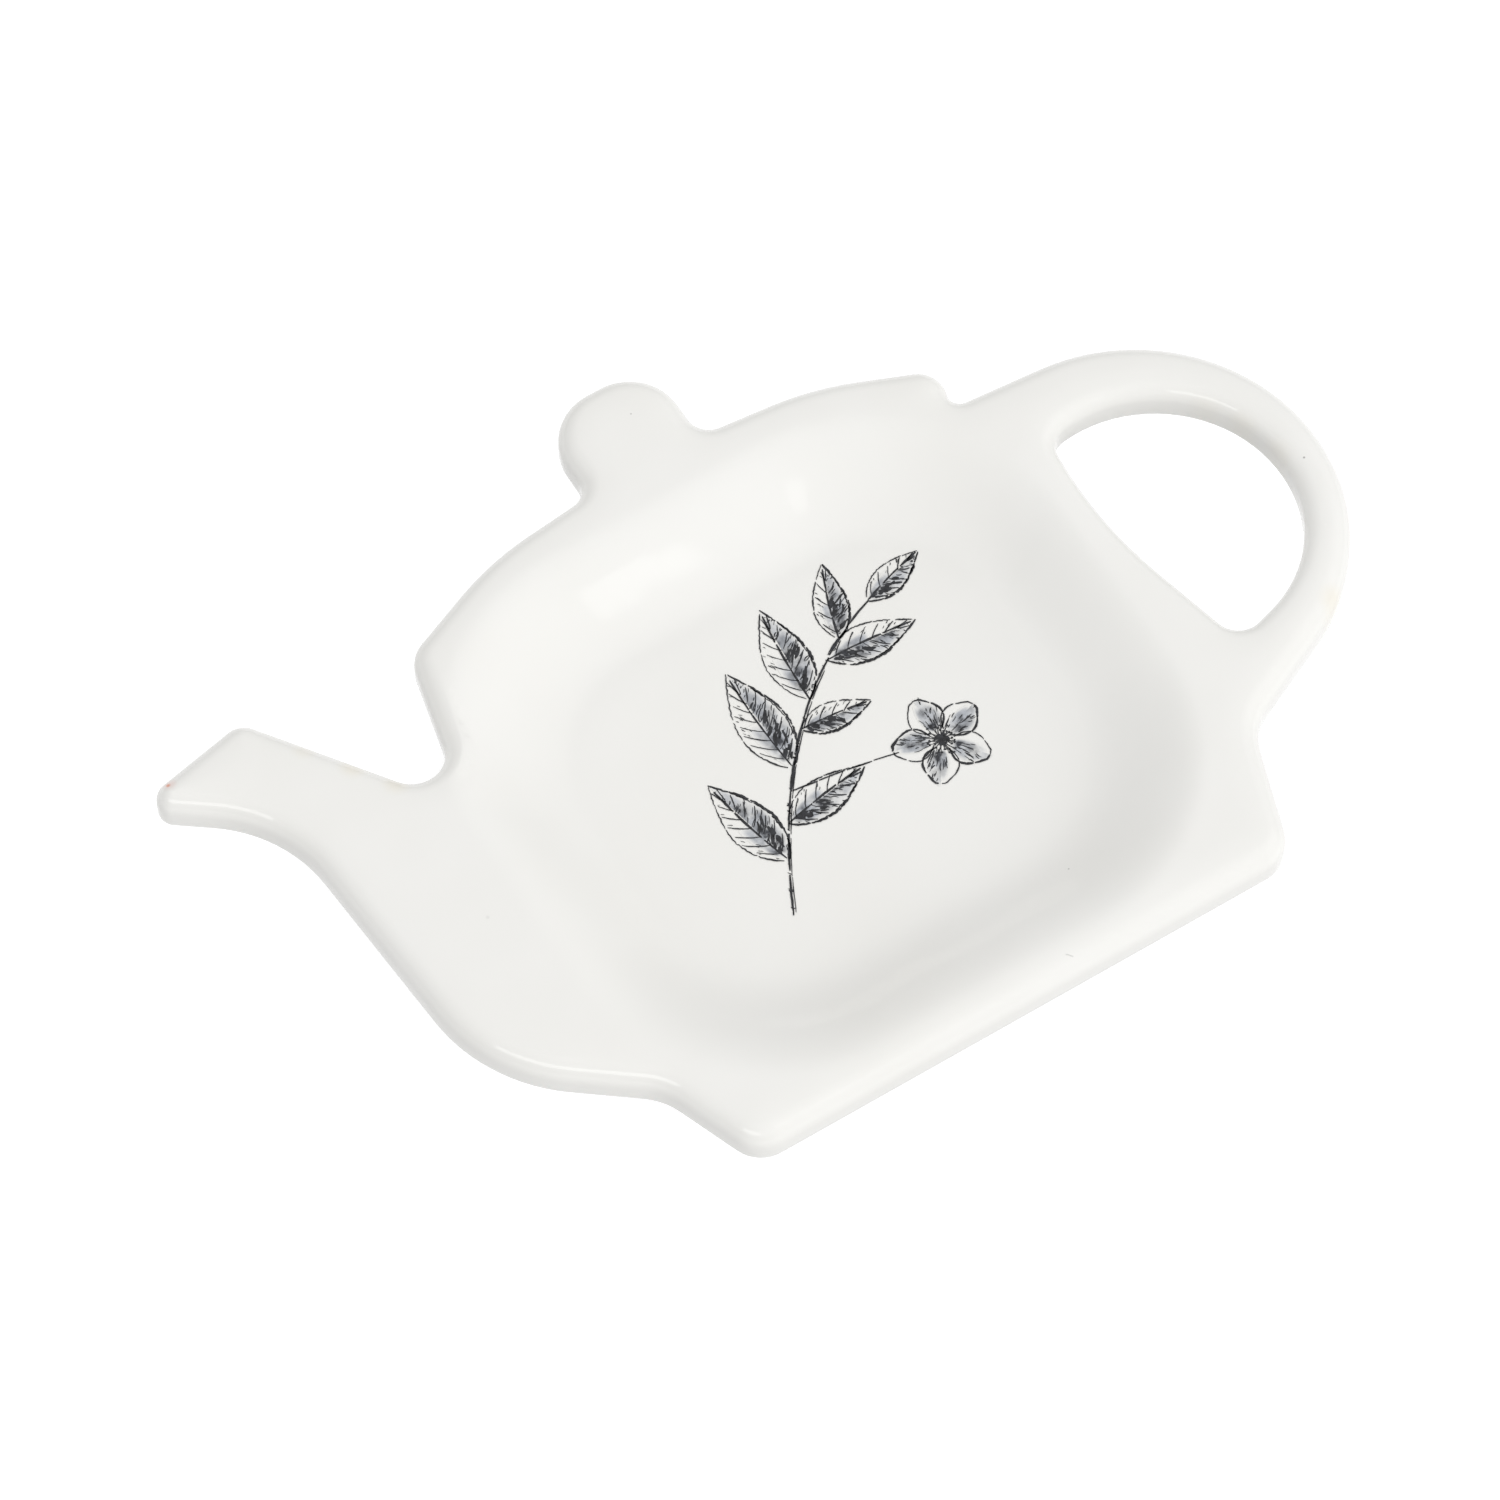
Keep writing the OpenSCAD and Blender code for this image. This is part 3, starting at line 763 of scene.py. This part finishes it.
run, out = sides.outputs["X"], sides.outputs["Y"]
ends = sum_of("MULTIPLY", sum_of("MULTIPLY", run, sum_of("SUBTRACT", 1, run)), 7, clamp=True)
rim_fade = sum_of("MULTIPLY", sum_of("SUBTRACT", 1, out), 2.6, clamp=True)
brushed = wide_noise(nodes, links, place, 0.55, 4, 0.25, 1.25)
soft = sum_of("MULTIPLY", sum_of("MULTIPLY", ends, rim_fade), brushed, clamp=True)
deep = sum_of("MULTIPLY", sum_of("SUBTRACT", 1.05, run), sum_of("SUBTRACT", 1.0, out), clamp=True)
pooled = wide_noise(nodes, links, place, 0.9, 3, -0.6, 2.2)
pool = sum_of("MULTIPLY", sum_of("MULTIPLY", deep, pooled), ends, clamp=True)
screen = nodes.new("ShaderNodeTexVoronoi")
screen.inputs["Scale"].default_value = 5.5
screen.inputs["Randomness"].default_value = 0
links.new(place, screen.inputs["Vector"])
dots = sum_of("MULTIPLY_ADD", screen.outputs["Distance"], -0.35, 1.08)
soft = sum_of("MULTIPLY", soft, dots, clamp=True)
tone = mixed(nodes, links, soft, (0.855, 0.849, 0.821), (0.40, 0.425, 0.47))
tone = mixed(nodes, links, pool, tone, (0.05, 0.053, 0.062))
links.new(tone, surface.inputs["Base Color"])
links.new(wide_noise(nodes, links, place, 0.4, 3, 0.055, 0.085), surface.inputs["Roughness"])
surface.inputs["IOR"].default_value = 1.5
wash_piece = piece_from("print_brush_wash", wash_points, wash_faces, wash,
                        "grey_ink", "print_grey_wash")
patch = wash_piece.data.uv_layers.new(name="patch")
for loop in wash_piece.data.loops:
    patch.data[loop.index].uv = wash_spots[loop.vertex_index]


# The floor is a plain pale table. It shows as white to the camera and in the gloss,
# and keeps a soft shadow under the rim.

# it lies a hair below the tread, so that the two faces don't fight
table_half, table_drop = 3, 0.00005
floor_mesh = bmesh.new()
bmesh.ops.create_grid(floor_mesh, x_segments=2, y_segments=2, size=table_half)
floor_data = bpy.data.meshes.new("table")
floor_mesh.to_mesh(floor_data)
floor_mesh.free()
table = bpy.data.objects.new("table", floor_data)
table.location.z = -table_drop
bpy.context.scene.collection.objects.link(table)
pale, surface, nodes, links = new_material("pale table")
surface.inputs["Roughness"].default_value = 0.9
surface.inputs["Specular IOR Level"].default_value = 0
surface.inputs["Base Color"].default_value = (0.45, 0.45, 0.45, 1)
surface.inputs["Emission Color"].default_value = (1, 1, 1, 1)
path_of_light = nodes.new("ShaderNodeLightPath")
seen = path_of_light.outputs["Is Camera Ray"]
for kind in ("Is Glossy Ray", "Is Transmission Ray"):
    either = nodes.new("ShaderNodeMath")
    either.operation = "MAXIMUM"
    links.new(seen, either.inputs[0])
    links.new(path_of_light.outputs[kind], either.inputs[1])
    seen = either.outputs["Value"]
lift = nodes.new("ShaderNodeMath")
lift.operation = "MULTIPLY"
lift.inputs[1].default_value = 0.8
links.new(seen, lift.inputs[0])
links.new(lift.outputs["Value"], surface.inputs["Emission Strength"])
floor_data.materials.append(pale)


# Plain soft studio light: an even pale room, a small soft box in front that leaves the
# pale streak on the well's far wall, and a wide one at the left for the rim's
# highlights. Dim fills all round lift the walls without showing in the gloss.

world = bpy.data.worlds.new("room")
bpy.context.scene.world = world
world.use_nodes = True
room = world.node_tree.nodes["Background"]
room.inputs["Color"].default_value = (1, 1, 1, 1)
room.inputs["Strength"].default_value = 0.605


def soft_box(name, way, reach, width, height, radiance):
    """A rectangular lamp that faces the dish, its brightness given as radiance."""
    lamp = bpy.data.lights.new(name, "AREA")
    lamp.shape = "RECTANGLE"
    lamp.size, lamp.size_y = width, height
    lamp.energy = radiance * width * height * math.pi
    holder = bpy.data.objects.new(name, lamp)
    bpy.context.scene.collection.objects.link(holder)
    way = Vector(way).normalized()
    holder.location = way * reach
    holder.rotation_euler = way.to_track_quat("Z", "Y").to_euler()
    return holder


def way_to(round_from_front, up):
    """Direction from the dish, in degrees to the right of the front and above the table."""
    a, e = math.radians(round_from_front), math.radians(up)
    return (math.sin(a) * math.cos(e), -math.cos(a) * math.cos(e), math.sin(e))


box_reach, fill_reach = 1.2, 1.6
soft_box("front soft box", way_to(16.5, 47), box_reach, 0.15, 0.17, 1.0)
soft_box("left soft box", way_to(-57, 36), box_reach, 0.8, 0.34, 2.2)
for name, way, radiance in (
        ("front fill", way_to(20, 32), 2.8), ("low front fill", way_to(5, 12), 1.5),
        ("right fill", way_to(90, 14), 1.9), ("high left fill", way_to(-85, 50), 0.3),
        ("back fill", way_to(180, 35), 1.5), ("top fill", way_to(0, 80), 0.5)):
    soft_box(name, way, fill_reach, 1.0, 0.8, radiance).visible_glossy = False
